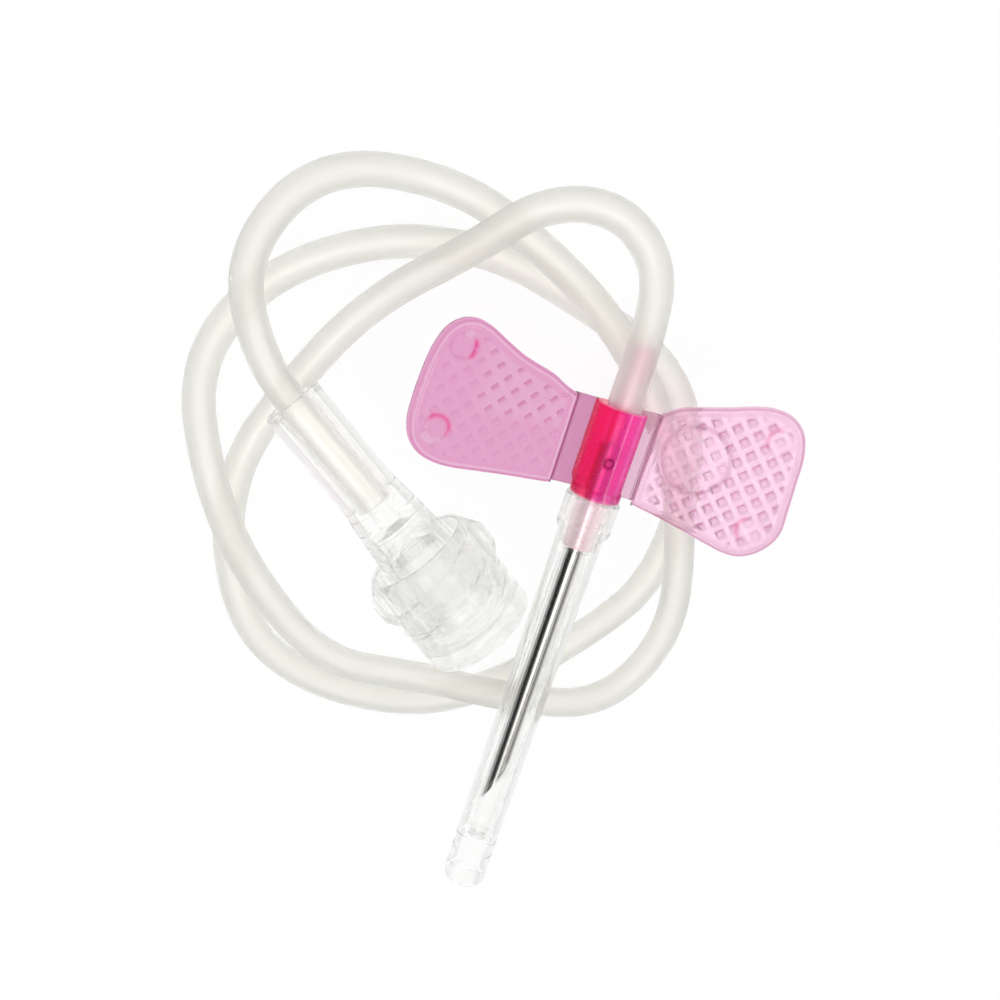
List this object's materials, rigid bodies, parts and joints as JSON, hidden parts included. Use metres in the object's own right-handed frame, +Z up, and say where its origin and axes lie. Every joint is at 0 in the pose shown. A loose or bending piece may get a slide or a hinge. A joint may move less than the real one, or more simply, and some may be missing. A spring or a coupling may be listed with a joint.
{
  "type": "butterfly needle",
  "caption": "Winged infusion needle: steel cannula in a clear sheath, soft hub with two folding wings, coiled thin tube ending in a luer connector with an eared cap",
  "frame": {"origin": "on the needle's axis in the plane of its tip, at the sheath's plain barrel; the tube's coil and the connector rest on a surface 7.3 mm below it", "axes": "+Y along the needle from its tip to the hub, +X towards the right wing, +Z up, away from the surface that the set lies on"},
  "size_m": [0.0448, 0.0554, 0.0096],
  "materials": {
    "steel": "polished",
    "hub_plastic": "soft, satin",
    "wing_plastic": "soft, translucent",
    "tube_plastic": "frosted, translucent",
    "clear_plastic": "clear, gloss"
  },
  "bodies": {
    "set": {"hub": "hub_plastic", "needle": "steel", "tube": "tube_plastic", "luer_connector": "clear_plastic"},
    "wing_left": {"wing_left": "wing_plastic"},
    "wing_right": {"wing_right": "wing_plastic"},
    "needle_sheath": {"needle_sheath": "clear_plastic"},
    "luer_cap": {"luer_cap": "clear_plastic"}
  },
  "joints": [
    {"name": "wing_left_fold", "type": "hinge", "parent": "set", "child": "wing_left", "pos_m": [-0.003, 0.0308, -0.00135], "axis": [0, 1, 0], "range_deg": [-16, 72], "stiffness_Nm_per_rad": 0.0004},
    {"name": "wing_right_fold", "type": "hinge", "parent": "set", "child": "wing_right", "pos_m": [0.003, 0.0308, -0.00135], "axis": [0, -1, 0], "range_deg": [-16, 72], "stiffness_Nm_per_rad": 0.0004},
    {"name": "sheath_slide", "type": "slide", "parent": "set", "child": "needle_sheath", "axis": [0, -1, 0], "range_m": [0, 0.028]},
    {"name": "cap_unscrew", "type": "hinge", "parent": "set", "child": "luer_cap", "pos_m": [-0.02285, 0.02791, -0.00245], "axis": [0.7903, -0.6127, 0], "range_deg": [0, 180]}
  ]
}
